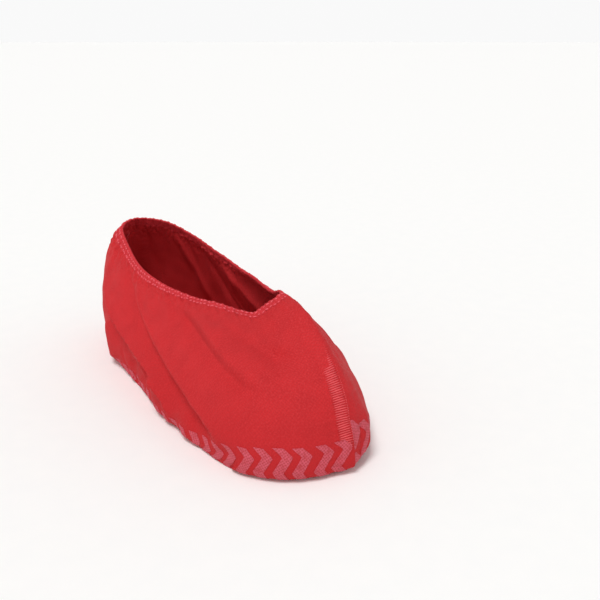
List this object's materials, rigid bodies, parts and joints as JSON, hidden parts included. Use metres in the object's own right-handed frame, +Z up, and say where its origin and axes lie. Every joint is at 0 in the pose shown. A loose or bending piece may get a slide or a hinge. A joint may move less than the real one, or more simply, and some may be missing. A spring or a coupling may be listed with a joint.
{
  "type": "shoe cover",
  "caption": "Slip-on nonwoven overshoe in the form it takes over an ankle boot, with a gathered elastic mouth, overlocked toe and heel seams and an open hollow for the boot.",
  "frame": {"origin": "middle of the outline on the surface that the sole rests on", "axes": "+Z up, +Y towards the heel, the toe towards -Y, the outer side of a right foot towards -X"},
  "size_m": [0.136, 0.3315, 0.1111],
  "materials": {
    "nonwoven_cloth": "spun-bonded polypropylene nonwoven, red, matt with a soft sheen and a fine bonded rib",
    "seam_thread": "overlocked polyester thread over folded nonwoven, red",
    "gathered_hem": "nonwoven casing gathered on elastic, two rows of lighter red stitches",
    "tread_print": "printed anti-slip coating, pinkish red, matt"
  },
  "bodies": {
    "root": {"lateral_panel": "nonwoven_cloth", "medial_panel": "nonwoven_cloth", "toe_seam": "seam_thread", "heel_seam": "seam_thread", "elastic_hem": "gathered_hem"}
  },
  "joints": []
}
